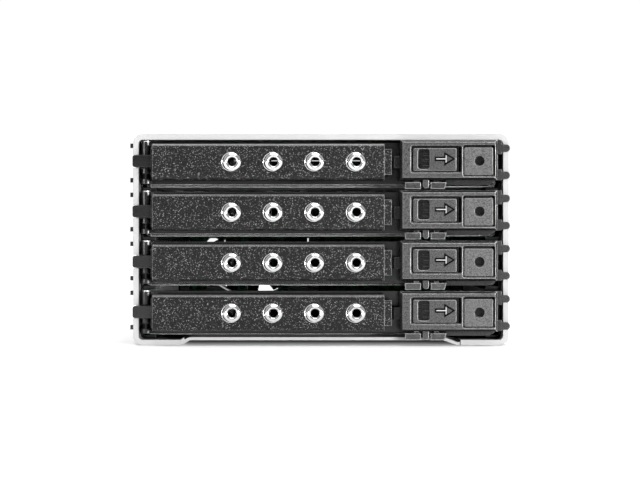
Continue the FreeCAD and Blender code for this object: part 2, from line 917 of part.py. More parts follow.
def carrier(centre):
    """Folded tray sheet: floor and two sides, drive holes, air slots and notches for the light pipes."""
    floor = centre - carrier_drop
    top = floor + carrier_side
    outline = folded([
        (carrier_half, top, 0), (carrier_half, floor, carrier_bend),
        (-carrier_half, floor, carrier_bend), (-carrier_half, top, 0)], carrier_sheet)
    body = prism("y", frame_back, carrier_rear, outline)
    lip = box(carrier_lip_inset - carrier_half, carrier_half - carrier_lip_inset,
              frame_back - carrier_lip_lap, frame_back + 1, floor, floor + carrier_sheet)
    cuts = []
    for x, y in drive_hole_places():
        cuts.append(rod(drive_hole_r, (x, y, floor - 1), (x, y, floor + 2)))
    top_of_floor = floor + carrier_sheet + 1
    half = carrier_slot / 2
    for side in (-1, 1):
        for i in range(carrier_slot_count):
            y = carrier_rear - carrier_slot_from_rear + i * carrier_slot_pitch
            for x in (carrier_slot_inner, carrier_half - carrier_slot_from_side):
                cuts.append(clipped("z", floor - 1, top_of_floor, side * x - half, side * x + half,
                                    y, y + carrier_slot, carrier_slot / 8))
    for left in pipe_lefts():
        cuts.append(box(left - run_gap, left + pipe_width + run_gap, frame_back - 3, frame_back + 3,
                        floor - 1, top_of_floor))
    for side in (-1, 1):
        x0, x1 = sorted((side * (carrier_half - 2 * carrier_sheet), side * (carrier_half + 1)))
        cuts.append(prism("x", x0, x1, [
            (carrier_rear - carrier_corner, top), (carrier_rear, top - carrier_corner),
            (carrier_rear + 1, top + 1), (carrier_rear - carrier_corner, top + 1)]))
    return joined([body, lip]).cut(cuts)


def drive_hole_places():
    """(x, y) of the drive's four screws in the carrier floor."""
    rear = drive_plug - drive_hole_from_plug
    half = drive_hole_x / 2
    return [(i * half, y) for i in (-1, 1) for y in (rear - drive_hole_y, rear)]


def front_frame(centre):
    """Open frame across the tray, with hinge ears, the button's spring post and the slide's stop post."""
    low = centre + carrier_floor
    high = centre + frame_top
    frame = box(-frame_half, frame_half, frame_front, frame_back, low, high)
    cuts = []
    left = pin_x + ear_r + frame_bar
    span = (handle_right - left) / frame_windows
    for i in range(frame_windows):
        x = left + i * span
        cuts.append(clipped("y", frame_front - 1, frame_back + 1, x, x + span - frame_bar,
                            low + frame_bar, high - frame_bar, 1))
    for pipe in pipe_lefts():
        cuts.append(box(pipe - run_gap, pipe + pipe_width + run_gap, frame_front - 1, frame_back + 1,
                        low - 1, low + pipe_height + run_gap))
    cuts.append(prism("y", frame_front - 1, frame_back + 1, [
        (frame_half - frame_corner, low - 1), (frame_half + 1, low - 1),
        (frame_half + 1, low + frame_corner), (frame_half, low + frame_corner),
        (frame_half - frame_corner, low)]))
    parts = [frame.cut(cuts)]
    for z0, z1 in ear_spans(centre):
        parts.append(rod(ear_r, (pin_x, pin_y, z0), (pin_x, pin_y, z1)))
        parts.append(box(pin_x - ear_r + 0.2, pin_x + ear_r, pin_y, frame_front + 1, z0, z1))
    parts.append(box(window_right - run_gap, window_right + rib - run_gap, plate_back + run_gap,
                     frame_front + 1, centre + nose_low + 1, centre + nose_high + 1))
    x = button_hole_x
    z = centre + button_hole_z
    parts.append(box(x - button_post_half, x + button_post_half, button_back + button_travel + button_post_gap,
                     frame_front + 1, z - button_post_half * 2 / 3, z + button_post_half * 2 / 3))
    body = joined(parts)
    pin_hole = rod(pin_r + pin_fit, (pin_x, pin_y, low - 1), (pin_x, pin_y, high + 1))
    return body.cut(pin_hole)


def ear_spans(centre):
    """(low, high) of the upper ear, the lower ear and the base bar."""
    return [
        (centre + knuckle_high + run_gap, centre + frame_top),
        (centre + lower_ear_low, centre + knuckle_low - run_gap),
        (centre + carrier_floor, centre + base_bar_high),
    ]


def hinge_pin(centre):
    """Pin through the ears and the handle's knuckle, with its head on the upper ear."""
    top = centre + frame_top
    shank = rod(pin_r, (pin_x, pin_y, centre + carrier_floor), (pin_x, pin_y, top))
    head = rod(pin_head_r, (pin_x, pin_y, top), (pin_x, pin_y, top + pin_head))
    return joined([shank, head])


def handle(centre):
    """Folded channel with its tongue and the eyelet holes."""
    half = handle_height / 2
    outline = folded([
        (handle_back, centre - half, 0),
        (handle_face, centre - half, handle_bend),
        (handle_face, centre + half, handle_bend),
        (handle_back, centre + half, 0),
    ], handle_sheet)
    channel = prism("x", handle_left, handle_right, outline)
    tongue_face = handle_face + tongue_set_back
    tongue = box(handle_right - handle_sheet, handle_right + tongue_length, tongue_face,
                 tongue_face + handle_sheet, centre - tongue_height / 2, centre + tongue_height / 2)
    end = box(handle_right - handle_sheet, handle_right, tongue_face, handle_back,
              centre - half + handle_sheet / 2, centre + half - handle_sheet / 2)
    cuts = []
    for i in range(eyelet_count):
        x = first_eyelet + i * eyelet_pitch
        cuts.append(rod(eyelet_barrel_r + pin_fit, (x, handle_face - 1, centre),
                        (x, handle_face + handle_sheet + 0.01, centre)))
    body = joined([channel, tongue, end])
    return body.cut(cuts)


def eyelets(centre):
    """Rolled eyelets: a domed flange, a funnel into the hole and a rolled rim behind the sheet."""
    solids = []
    seat = handle_face
    back = handle_face + handle_sheet
    profile = [
        (eyelet_hole_r, back + 0.8), (eyelet_hole_r, seat), (eyelet_hole_r + 1.0, seat - eyelet_proud),
        (eyelet_r, seat - 0.3), (eyelet_r, seat), (eyelet_barrel_r, seat), (eyelet_barrel_r, back),
        (eyelet_r - 0.5, back),
    ]
    points = [Vector(r, y, 0) for r, y in profile]
    section = Part.Face(Part.makePolygon(points + points[:1]))
    ring = section.revolve(Vector(0, 0, 0), Vector(0, 1, 0), 360)
    for i in range(eyelet_count):
        copy = ring.copy()
        copy.translate(Vector(first_eyelet + i * eyelet_pitch, 0, centre))
        solids.append(copy)
    return Part.makeCompound(solids)


def hinge_knuckle(centre):
    """Cast knuckle in the handle's left end: block, barrel round the pin and the heel beside the wall."""
    low = centre + knuckle_low
    high = centre + knuckle_high
    half = handle_height / 2 - handle_sheet - seat_gap
    seat = handle_face + handle_sheet
    cut = handle_bend
    back = handle_back - block_set_in
    block = prism("x", block_left, block_left + block_length, [
        (seat, centre - half + cut), (seat + cut, centre - half), (back, centre - half),
        (back, centre + half), (seat + cut, centre + half), (seat, centre + half - cut)])
    barrel = rod(ear_r, (pin_x, pin_y, low), (pin_x, pin_y, high))
    arm = box(pin_x - ear_r, block_left + 1, heel_front, pin_y, low, high)
    heel_left = pin_x - heel_reach
    heel = prism("y", heel_front, heel_back, [
        (heel_left, low, heel_corner), (block_left + 1, low), (block_left + 1, high),
        (heel_left, high, heel_corner)])
    body = joined([block, barrel, arm, heel])
    return body.cut(rod(pin_r + swing_fit, (pin_x, pin_y, low - 1), (pin_x, pin_y, high + 1)))


def bezel(centre):
    """Moulded bezel: raised face, set-back flange, skirt, stop nubs, lens tab, windows and slide guides."""
    low, high = centre + bezel_low, centre + bezel_high
    raised = box(bezel_left, bezel_right, bezel_face, 0, low, high)
    front_edges = [e for e in raised.Edges if abs(e.BoundBox.YMax - bezel_face) < 1e-4]
    raised = raised.makeChamfer(bezel_chamfer, front_edges)
    flange = box(bezel_left, flange_right, flange_face, frame_front, low, high)
    skirt = prism("y", flange_face + 1, frame_front, [
        (skirt_left, low + 1), (skirt_left, centre + skirt_low),
        (bezel_right - skirt_cut, centre + skirt_low), (bezel_right, low), (bezel_right, low + 1)])
    parts = [raised, flange, skirt]
    for z in nub_centres:
        r = nub_height / 2
        parts.append(pad("y", flange_face, nub_back, flange_right - 2 * r, nub_right,
                         centre + z - r, centre + z + r, r * 0.98))
    tab_mid = (lens_lefts[0] + lens_width + lens_lefts[1]) / 2
    parts.append(pad("y", lens_front, lens_back, tab_mid - tab_width / 2, tab_mid + tab_width / 2,
                     centre + lens_low + tab_above_lens, low + tab_width, tab_width * 0.48))
    body = joined(parts)
    cavity = [
        box(bezel_left + bezel_side, bezel_right - bezel_side / 1.5, bezel_face + bezel_wall,
            frame_front + 1, low + bezel_side / 1.5, high - bezel_side / 1.5),
        box(bezel_left - 1, bezel_left + bezel_side + 1, plate_front - run_gap, plate_back + run_gap,
            centre + nose_low - run_gap, centre + nose_high + run_gap),
        box(flange_right - notch_depth, flange_right + 1, flange_face - 1, frame_front + 1,
            centre + notch_low, centre + notch_high),
    ]
    mouths = (
        (window_left, window_right, centre + window_low, centre + window_high),
        (well_left, well_right, centre + well_low, centre + well_high),
    )
    for mouth in mouths:
        cavity.append(pad("y", bezel_face - 1, bezel_face + bezel_wall + 1, *mouth, window_corner))
        cavity.append(flared(bezel_face, window_flare, *mouth, window_corner, window_flare))
    body = body.cut(cavity)
    guides = []
    guide_right = window_right + guide_lap
    spans = (
        (low + bezel_side / 2, centre + window_low - guide_under_window),
        (centre + window_high, high - bezel_side / 2),
    )
    for z0, z1 in spans:
        guides.append(box(bezel_left + bezel_side - 0.2, guide_right, plate_back + run_gap,
                          plate_back + run_gap + rib, z0, z1))
    return joined([body] + guides)


def slide_latch(centre):
    """Sliding latch: gripped face, plate in the bezel's guides, nose to the left and spring seat behind."""
    low = centre + window_low + slide_side_gap
    high = centre + window_high - 2 * slide_side_gap
    face = pad("y", slide_face, plate_front + 0.2, slide_left, slide_right, low, high, slide_corner)
    grip_x = slide_left + grip_left
    grip = pad("y", slide_face - 1, slide_face + grip_depth, grip_x, grip_x + grip_width,
               low + grip_above_edge, high - grip_below_edge, grip_corner)
    face = face.cut(grip)
    plate = box(bezel_left + bezel_side + 1, window_right - run_gap * 2, plate_front, plate_back,
                centre + window_low - plate_under, centre + window_high + plate_over)
    nose_left = handle_right + tongue_length + run_gap
    nose = prism("z", centre + nose_low, centre + nose_high, [
        (nose_left, plate_back), (nose_left, plate_front + nose_bevel_depth),
        (nose_left + nose_bevel_length, plate_front),
        (bezel_left + bezel_side + nose_root, plate_front), (bezel_left + bezel_side + nose_root, plate_back)])
    seat_left = slide_left + spring_seat_inset
    seat = box(seat_left, seat_left + rib, plate_back - 0.2, plate_back + spring_seat_depth,
               centre + nose_low + spring_seat_in_nose, centre + nose_high + spring_seat_in_nose)
    parts = [face, plate, nose, seat]
    span = (high - low - ridge_margin) / ridge_count
    for i in range(ridge_count):
        z = low + ridge_start + i * span
        parts.append(box(grip_x + grip_width * ridge_share, grip_x + grip_width + 0.1, slide_face + ridge_sink,
                         slide_face + grip_depth + 0.1, z, z + ridge_height))
    return joined(parts)


def lock_button(centre):
    """Square push button with a countersunk hole and retaining lips above and below."""
    low, high = centre + button_low, centre + button_high
    face = pad("y", button_face, button_back, button_left, button_right, low, high, button_corner)
    lip = box(button_left + button_lip, button_right - button_lip, plate_front, button_back,
              centre + well_low - button_lip + button_gap, centre + well_high + button_lip - button_gap)
    z = centre + button_hole_z
    hole = rod(button_hole_r, (button_hole_x, button_face - 1, z),
               (button_hole_x, button_face + button_hole_depth, z))
    sink = cone(button_hole_r + button_sink, button_hole_r, (button_hole_x, button_face, z),
                (button_hole_x, button_face + button_sink, z))
    return joined([face, lip]).cut([hole, sink])


def zigzag(start, end, reach):
    """Outline of a folded strip spring along u, from start to end, that swings reach along v."""
    half = spring_strip / 2
    step = (end - start) / spring_folds
    upper = [(start, half)]
    lower = [(start, -half)]
    for i in range(spring_folds - 1):
        v = reach if i % 2 == 0 else -reach
        u = start + (i + 1) * step
        upper.append((u, v + half))
        lower.append((u, v - half))
    upper.append((end, half))
    lower.append((end, -half))
    return upper + lower[::-1]


def return_springs(centre):
    """Two folded strip springs: one beside the latch's seat, one behind the button."""
    mid = centre + (nose_low + nose_high) / 2 + spring_seat_in_nose
    start = slide_left + spring_seat_inset + rib
    end = window_right - run_gap
    y = plate_back + latch_spring_behind
    along_x = [(u, v + y) for u, v in zigzag(start, end, latch_spring_reach)]
    latch_spring = prism("z", mid - spring_width / 2, mid + spring_width / 2, along_x)
    z = centre + button_hole_z
    start = button_back
    end = button_back + button_travel + button_post_gap
    along_y = [(v + button_hole_x, u) for u, v in zigzag(start, end, button_spring_reach)]
    button_spring = prism("z", z - spring_width / 2, z + spring_width / 2, along_y)
    return Part.makeCompound([latch_spring, button_spring])


def light_pipes(centre):
    """Clear lenses below the bezel, each with a stepped pipe along the carrier floor to its lamp."""
    solids = []
    floor = centre + carrier_floor
    for lens, left, cut in zip(lens_lefts, pipe_lefts(), (0, lens_cut)):
        right = left + pipe_width
        head = prism("y", lens_front, lens_back, [
            (lens, centre + lens_low), (lens + lens_width - cut, centre + lens_low),
            (lens + lens_width, centre + lens_high), (lens, centre + lens_high)])
        neck = box(left, right, lens_back - 0.5, frame_front + 1, floor - carrier_sheet, centre + lens_high)
        top = floor + pipe_height
        step = box(left, right, frame_front + pipe_step_lead, frame_back + pipe_step_tail,
                   floor - carrier_sheet, top)
        pipe = box(left, right, frame_back + pipe_step_tail - pipe_step_lead,
                   board_front - lamp_size - lamp_gap, floor, top)
        solids.append(joined([head, neck, step, pipe]))
    return Part.makeCompound(solids)


def tray(number, centre):
    """Write every sub-part of one tray."""
    makers = {
        "carrier": carrier,
        "front_frame": front_frame,
        "bezel": bezel,
        "light_pipes": light_pipes,
        "hinge_pin": hinge_pin,
        "handle": handle,
        "eyelets": eyelets,
        "hinge_knuckle": hinge_knuckle,
        "slide_latch": slide_latch,
        "return_springs": return_springs,
        "lock_button": lock_button,
    }
    for name, maker in makers.items():
        save(name + "_" + str(number), maker(centre))


os.makedirs("parts", exist_ok=True)
save("housing", housing())
save("guide_rail_left", guide_rail(-1))
save("guide_rail_right", guide_rail(1))
save("backplane_board", backplane_board())
save("drive_sockets", drive_sockets())
save("status_lamps", status_lamps())
save("data_ports", data_ports())
save("power_inlets", power_inlets())
save("rear_panel", rear_panel())
save("fan_frame", fan_frame())
save("fan_rotor", fan_rotor())
save("fan_guard", fan_guard())
save("fan_screws", fan_screws())
save("board_screws", board_screws())
save("case_rivets", case_rivets())
for i, centre in enumerate(tray_centres):
    tray(i + 1, centre)
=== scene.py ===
"""Looks of a four-tray hot swap drive cage: finishes, fine pieces, floor, lights and camera.

Everything is in metres in the cage's own frame: +X is its right seen from the front, +Y runs to the rear,
+Z is up, and the origin is under the middle of the sleeve's front edge. Names that end in _mm hold
millimetres.
"""

import math

import bmesh
import bpy
from mathutils import Matrix, Vector


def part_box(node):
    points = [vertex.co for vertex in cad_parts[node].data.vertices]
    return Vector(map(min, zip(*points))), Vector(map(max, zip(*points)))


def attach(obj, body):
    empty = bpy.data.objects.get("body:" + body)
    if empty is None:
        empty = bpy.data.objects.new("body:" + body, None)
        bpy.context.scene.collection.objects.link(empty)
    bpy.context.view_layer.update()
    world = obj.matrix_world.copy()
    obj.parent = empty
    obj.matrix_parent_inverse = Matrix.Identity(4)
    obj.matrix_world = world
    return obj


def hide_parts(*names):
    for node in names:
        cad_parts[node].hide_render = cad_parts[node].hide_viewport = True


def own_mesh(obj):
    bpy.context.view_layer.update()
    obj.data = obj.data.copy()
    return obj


MM = 0.001
TRAYS = (1, 2, 3, 4)
FORWARD = Vector((0.0, -1.0, 0.0))

CAMERA_PLACE = Vector((-0.33, -500.0, 40.9)) * MM
CAMERA_LENS_MM = 72.3
CAMERA_FILM_MM = 36.0

# How far the two sprung controls of a tray move.
LATCH_TRAVEL = 1.4 * MM
BUTTON_TRAVEL = 1.2 * MM

# Eyelets: rings of chrome through the handle's face, each on a washer that sits a little to its left.
EYELETS_PER_HANDLE = 4
EYELET_BORE = 1.48 * MM
EYELET_BARREL = 1.0 * MM
WASHER_SHIFT = 0.5 * MM
TURNED_STEPS = 48

# Arrow on the latch, placed from the button's near side and middle height.
ARROW_TO_BUTTON = 3.55 * MM
ARROW_LENGTH = 7.8 * MM
ARROW_HEAD = 4.1 * MM
ARROW_RISE = 0.7 * MM
ARROW_SEAT = 0.05 * MM

# Strip springs behind the latch and the button.
STRIP_THICKNESS = 0.2 * MM
STRIP_WAVES = 2.5
STRIP_STEPS = 60

# Range that noise mostly keeps to.
NOISE_RANGE = (0.3, 0.7)

# Studio.
FLOOR_HALF = 9.0
WALL_RADIUS = 8.5
WALL_STEPS = 64
WALL_HEIGHTS = (-0.1, 3.0, 12.0)
SLEEVE_MIDDLE = 73 * MM
LIGHTS_AIM = (0.0, 0.0, 0.045)

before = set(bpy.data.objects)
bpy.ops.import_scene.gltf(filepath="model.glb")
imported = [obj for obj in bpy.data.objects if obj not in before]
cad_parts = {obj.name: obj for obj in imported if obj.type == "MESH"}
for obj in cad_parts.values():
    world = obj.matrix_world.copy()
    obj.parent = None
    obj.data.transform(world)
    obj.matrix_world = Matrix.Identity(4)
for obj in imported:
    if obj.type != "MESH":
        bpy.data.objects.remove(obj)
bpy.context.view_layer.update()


# ---------------------------------------------------------------- camera

def make_camera():
    """Level camera in front of the cage, at about half its height."""
    data = bpy.data.cameras.new("front_camera")
    data.lens = CAMERA_LENS_MM
    data.sensor_width = CAMERA_FILM_MM
    data.clip_start = 0.01
    camera = bpy.data.objects.new("front_camera", data)
    camera.location = CAMERA_PLACE
    camera.rotation_euler = (math.pi / 2, 0, 0)
    bpy.context.scene.collection.objects.link(camera)
    bpy.context.scene.camera = camera


make_camera()


# ---------------------------------------------------------------- shader sums

class Value:
    """A number that changes over a surface. Arithmetic on it adds Math nodes beside its own."""

    def __init__(self, nodes, output):
        self.nodes = nodes
        self.output = output

    def math(self, operation, first, second=0.0):
        return self.nodes.node("Math", {"operation": operation}, {0: first, 1: second})

    def __add__(self, other):
        return self.math("ADD", self, other)

    def __radd__(self, other):
        return self.math("ADD", other, self)

    def __sub__(self, other):
        return self.math("SUBTRACT", self, other)

    def __rsub__(self, other):
        return self.math("SUBTRACT", other, self)

    def __mul__(self, other):
        return self.math("MULTIPLY", self, other)

    def __rmul__(self, other):
        return self.math("MULTIPLY", other, self)

    def __truediv__(self, other):
        return self.math("DIVIDE", self, other)

    def __rtruediv__(self, other):
        return self.math("DIVIDE", other, self)

    def __abs__(self):
        return self.math("ABSOLUTE", self)

    def kept(self):
        """The value held between nought and one."""
        return self.nodes.node("Clamp", {}, {"Value": self})

    def spread(self, low, high, start=0.0, end=1.0):
        """The value mapped from low..high to start..end and held there."""
        return self.nodes.node("MapRange", {"clamp": True}, {
            "Value": self, "From Min": low, "From Max": high, "To Min": start, "To Max": end})

    def evened(self, start=0.0, end=1.0):
        """Noise mapped from its usual range to start..end."""
        return self.spread(*NOISE_RANGE, start, end)

    def between(self, start, end):
        """A share from nought to one mapped to start..end."""
        return self.spread(0.0, 1.0, start, end)


class Nodes:
    """The shader nodes of one finish or of the studio room."""

    def __init__(self, tree):
        self.tree = tree

    def node(self, kind, settings, sockets, output=0):
        """Adds a node: its settings first, then the values or links of its sockets."""
        made = self.tree.nodes.new("ShaderNode" + kind)
        for name, value in settings.items():
            setattr(made, name, value)
        for name, value in sockets.items():
            self.join(made.inputs[name], value)
        return Value(self, made.outputs[output])

    def join(self, socket, value):
        """Gives a socket a link or a plain value."""
        if isinstance(value, Value):
            self.tree.links.new(value.output, socket)
        else:
            socket.default_value = value


def plain_grey(tone):
    return (tone, tone, tone, 1)


class Finish(Nodes):
    """A material with one principled surface, measured in the cage's own metres."""

    def __init__(self, name, constants):
        self.material = bpy.data.materials.new(name)
        self.material.use_nodes = True
        super().__init__(self.material.node_tree)
        self.surface = self.tree.nodes["Principled BSDF"]
        for socket, value in constants.items():
            self.surface.inputs[socket].default_value = value
        self.place = self.node("TexCoord", {}, {}, "Object")

    def feed(self, socket, value):
        """Gives a socket of the surface a value that changes over it."""
        self.join(self.surface.inputs[socket], value)

    # Patterns.

    def stretched(self, along):
        """The place, stretched by one factor along each axis."""
        return self.node("VectorMath", {"operation": "MULTIPLY"}, {0: self.place, 1: along})

    def noise(self, size_mm, detail=2.0, rough=0.5, place=None):
        """Soft noise whose lumps are about size_mm across."""
        return self.node("TexNoise", {"noise_dimensions": "3D"}, {
            "Vector": place or self.place, "Scale": 1 / (size_mm * MM), "Detail": detail, "Roughness": rough})

    def cells(self, size_mm, output="Distance", place=None):
        """Cells about size_mm across: the distance from their middle, or one random colour each."""
        return self.node("TexVoronoi", {"feature": "F1"}, {
            "Vector": place or self.place, "Scale": 1 / (size_mm * MM)}, output)

    def chance(self, colour):
        """One random number from a cell's colour."""
        return self.node("SeparateColor", {}, {0: colour})

    # Colours.

    def mix(self, share, first, second):
        """Colour between two colours."""
        return self.node("Mix", {"data_type": "RGBA"}, {0: share, 6: first, 7: second}, 2)

    def grey(self, share, dark, light):
        """Colour between two greys."""
        return self.mix(share, plain_grey(dark), plain_grey(light))

    # Where on the piece, and which way it faces.

    def part_of(self, vector, axis):
        return self.node("SeparateXYZ", {}, {0: vector}, axis)

    def axis(self, name):
        """One coordinate of the place, in metres."""
        return self.part_of(self.place, name)

    def before(self, axis, place_mm, blur_mm):
        """One before a place along an axis, nought past it, blurred by blur_mm to each side."""
        return self.axis(axis).spread((place_mm - blur_mm) * MM, (place_mm + blur_mm) * MM, 1.0, 0.0)

    def facing(self, name):
        """How far the surface faces along one axis of the piece, from -1 to 1."""
        return self.part_of(self.node("TexCoord", {}, {}, "Normal"), name)

    def along_piece(self, name):
        """How far along the piece's own box, from nought to one."""
        return self.part_of(self.node("TexCoord", {}, {}, "Generated"), name)

    def dot(self, first, second):
        """How far two directions agree."""
        return self.node("VectorMath", {"operation": "DOT_PRODUCT"}, {0: first, 1: second}, "Value")

    # Edges, hollows and relief.

    def rounded(self, edge_mm):
        """Direction of the surface with its edges rounded over edge_mm."""
        return self.node("Bevel", {"samples": 6}, {"Radius": edge_mm * MM})

    def painted_edge_lighting(self, edge_mm, side=None):
        """One along rounded edges, broken up by noise, nought elsewhere: the mask for painted highlights and
        painted shade lines along edges.

        With side, the edges that turn towards it, the way the light comes from, get more of this painted
        light and those that turn away less.
        """
        flat = self.node("NewGeometry", {}, {}, "Normal")
        rounded = self.rounded(edge_mm)
        bend = (1 - self.dot(flat, rounded)).spread(0.01, 0.07)
        share = bend * self.noise(1.5, 3.0).spread(0.3, 0.55, 0.5, 1.0)
        if side:
            share = share * (0.5 + self.dot(rounded, side)).kept()
        return share

    def open_to_light(self, reach_mm):
        """One where the surface is open, falling to nought in slots and corners narrower than reach_mm."""
        seen = self.node("AmbientOcclusion", {"samples": 6}, {"Distance": reach_mm * MM}, "AO")
        return seen.spread(0.35, 0.75)

    def relief(self, height, depth_mm, edge_mm):
        """Relief of the surface, depth_mm deep where height is one, on edges rounded over edge_mm."""
        self.feed("Normal", self.node("Bump", {}, {
            "Height": height, "Distance": depth_mm * MM, "Strength": 1.0, "Normal": self.rounded(edge_mm)}))


# ---------------------------------------------------------------- finishes

def zinc_sheet(name, base, grain_along, edge_tone, painted_edge_tone, edge_mm, painted_shadow_to_mm=None):
    """Zinc-coated steel: satin metal with rolling grain and faint clouds, and pale sheared edges, with a
    painted line along its rounded edges: painted shade on the sleeve's sheet, painted highlight on the bright
    sheet.

    Up to a place along X the edges are darkened as a painted shadow of the handles.
    """
    finish = Finish(name, {"Specular IOR Level": 0.5})
    clouds = finish.noise(9.0, 3.0)
    grain = finish.noise(0.35, 3.0, 0.6, finish.stretched(grain_along))
    fine = finish.noise(0.25)
    edge = abs(finish.facing("Y")).spread(0.6, 0.9)
    tone = (clouds * 0.35 + grain * 0.4 + fine * 0.25).evened()
    face_colour = finish.grey(tone, base - 0.16, base + 0.12)
    edge_colour = finish.grey(tone, edge_tone - 0.1, edge_tone)
    # Painted line along rounded edges: painted shade on the sleeve's sheet, painted highlight on the bright
    # sheet.
    line = finish.painted_edge_lighting(edge_mm)
    # Painted shadow of the handles on the edges, up to a place along X.
    if painted_shadow_to_mm is not None:
        edge_colour = finish.mix(finish.before("X", painted_shadow_to_mm, 1.5), edge_colour, plain_grey(0.015))
    edge_colour = finish.mix(line, edge_colour, plain_grey(painted_edge_tone))
    finish.feed("Base Color", finish.mix(edge, face_colour, edge_colour))
    finish.feed("Metallic", edge.between(0.7, 0.05))
    finish.feed("Roughness", (grain * 0.6 + clouds * 0.4).evened(0.38, 0.56))
    finish.relief(grain * 0.7 + fine * 0.3, depth_mm=0.02, edge_mm=0.12)
    return finish.material


def powder_coat():
    """Dark textured powder coat with fine pale flecks, partly the coat's own and partly painted glints, and a
    painted highlight of paler flecks along its edges and on faces that turn up.
    """
    finish = Finish("powder_coat", {"Specular IOR Level": 0.28})
    fleck_mm = 0.34
    # Pale flecks: partly the coat's own, partly painted glints off its grain.
    chosen = finish.chance(finish.cells(fleck_mm, "Color"))
    spot = 1 - finish.cells(fleck_mm) / 0.6
    fleck = (spot.kept() * chosen.spread(0.74, 1.0)).kept()
    small = finish.noise(0.3, 3.0, 0.65)
    cover = finish.noise(5.0).spread(0.35, 0.65, 0.7, 1.0)
    # Painted highlight: paler flecks along the edges and on faces that turn up, where the light from above
    # falls.
    painted_top_light = finish.facing("Z").spread(0.45, 0.75)
    bend = (finish.painted_edge_lighting(0.5) + painted_top_light).kept() * small.spread(0.42, 0.6, 0.2, 1.0)
    share = (fleck * cover * 1.3 + small.spread(0.5, 0.75) * 0.05 + bend * 0.5).kept()
    finish.feed("Base Color", finish.grey(share, 0.002, 0.55))
    finish.feed("Roughness", (0.34 - fleck * 0.12 + small * 0.1).kept())
    finish.relief(small * 0.6 + fleck * 0.5, depth_mm=0.05, edge_mm=0.35)
    return finish.material


def bezel_plastic(name, painted_shade_behind_mm, coat_tones, sheen_behind, edge_tone):
    """Fine-textured grey front faces on smooth dark moulding, with painted highlights along the edges, most
    on those that turn up and to the right. Painted shade: in hollows, on faces turned from the front and
    behind a depth along Y, the dark moulding shows instead of the grey and the gloss is cut by a dark
    metallic surface.

    sheen_behind is the gloss left on the dark faces there.
    """
    finish = Finish(name, {"Specular IOR Level": 0.6})
    grit = finish.noise(0.36, 3.0, 0.7)
    clouds = finish.noise(6.0)
    tone = (grit * 0.9 + clouds * 0.1).spread(0.34, 0.66)
    # Painted shade: behind this depth along Y, in hollows and on faces turned from the front, the grey coat
    # gives way to the dark moulding.
    ahead_of_painted_shade = finish.before("Y", painted_shade_behind_mm, 0.15)
    front = finish.facing("Y").spread(-0.99, -0.93, 1.0, 0.0)
    clear = finish.open_to_light(4.5)
    grey_out_of_painted_shade = (ahead_of_painted_shade * front * clear).kept()
    moulded = finish.mix(grey_out_of_painted_shade, finish.grey(tone, 0.012, 0.03), finish.grey(tone, *coat_tones))
    # Painted highlight along the edges, in the pale edge tone, strongest on edges that turn up and to the
    # right, where the light comes from.
    light_from_up_and_right = (0.75, 0.0, 0.5)
    painted_edge_lighting = (finish.painted_edge_lighting(0.4, light_from_up_and_right) * ahead_of_painted_shade.between(0.12, 1.0)).kept()
    finish.feed("Base Color", finish.mix(painted_edge_lighting, moulded, plain_grey(edge_tone)))
    # Painted shade: the same places lose their gloss to a dark metallic surface, less behind the depth where
    # sheen_behind keeps it.
    painted_shade_gloss_cut = (1 - front * clear * ahead_of_painted_shade.between(sheen_behind, 1.0)) * (1 - painted_edge_lighting)
    finish.feed("Metallic", (painted_shade_gloss_cut * 0.9).kept())
    finish.feed("Roughness", grit.evened(0.22, 0.34))
    finish.relief(grit, depth_mm=0.02, edge_mm=0.28)
    return finish.material


def black_plastic():
    """Black moulded plastic with a soft sheen and faint flow marks, painted shade in its slots and painted
    highlight lines along its edges.
    """
    finish = Finish("black_plastic", {"Specular IOR Level": 0.5})
    grit = finish.noise(0.5, 3.0, 0.55)
    flow = finish.noise(7.0, 2.0, 0.5, finish.stretched((0.4, 1.0, 1.6)))
    tone = (grit * 0.5 + flow * 0.5).evened()
    # Painted highlight: pale lines along the edges.
    painted_edge_lighting = finish.painted_edge_lighting(0.2)
    finish.feed("Base Color", finish.mix(painted_edge_lighting, finish.grey(tone, 0.004, 0.011), plain_grey(0.09)))
    # Painted shade: in slots the gloss is cut by a dark metallic surface.
    finish.feed("Metallic", ((1 - finish.open_to_light(3.0)) * (1 - painted_edge_lighting) * 0.9).kept())
    finish.feed("Roughness", flow.evened(0.16, 0.28))
    finish.relief(grit, depth_mm=0.01, edge_mm=0.2)
    return finish.material


def clear_plastic():
    """Clear smoke-tinted lens plastic with a painted highlight and a painted glow along its edges."""
    finish = Finish("clear_plastic", {"Transmission Weight": 0.5, "IOR": 1.5, "Emission Strength": 0.3})
    haze = finish.noise(2.0)
    tint = finish.grey(haze.evened(), 0.06, 0.12)
    # Painted highlight and painted glow along the edges: pale colour and light given off there.
    edges = finish.painted_edge_lighting(0.4)
    finish.feed("Base Color", finish.mix(edges, tint, plain_grey(0.75)))
    finish.feed("Emission Color", finish.grey(edges, 0.0, 1.0))
    finish.feed("Roughness", haze.evened(0.08, 0.16))
    finish.relief(haze, depth_mm=0.005, edge_mm=0.3)
    return finish.material


def sunk_mark(painted_highlight_to_mm):
    """Glossy floor of the arrow, with a painted highlight up to a place along X and dark beyond it."""
    finish = Finish("sunk_mark", {"Specular IOR Level": 0.6})
    grit = finish.noise(0.4)
    # Painted highlight: pale up to a place along X, dark beyond it.
    pale = finish.before("X", painted_highlight_to_mm, 0.15)
    finish.feed("Base Color", finish.mix(pale, finish.grey(grit.evened(), 0.03, 0.06), plain_grey(0.5)))
    finish.feed("Roughness", grit.evened(0.2, 0.28))
    finish.relief(grit, depth_mm=0.004, edge_mm=0.05)
    return finish.material


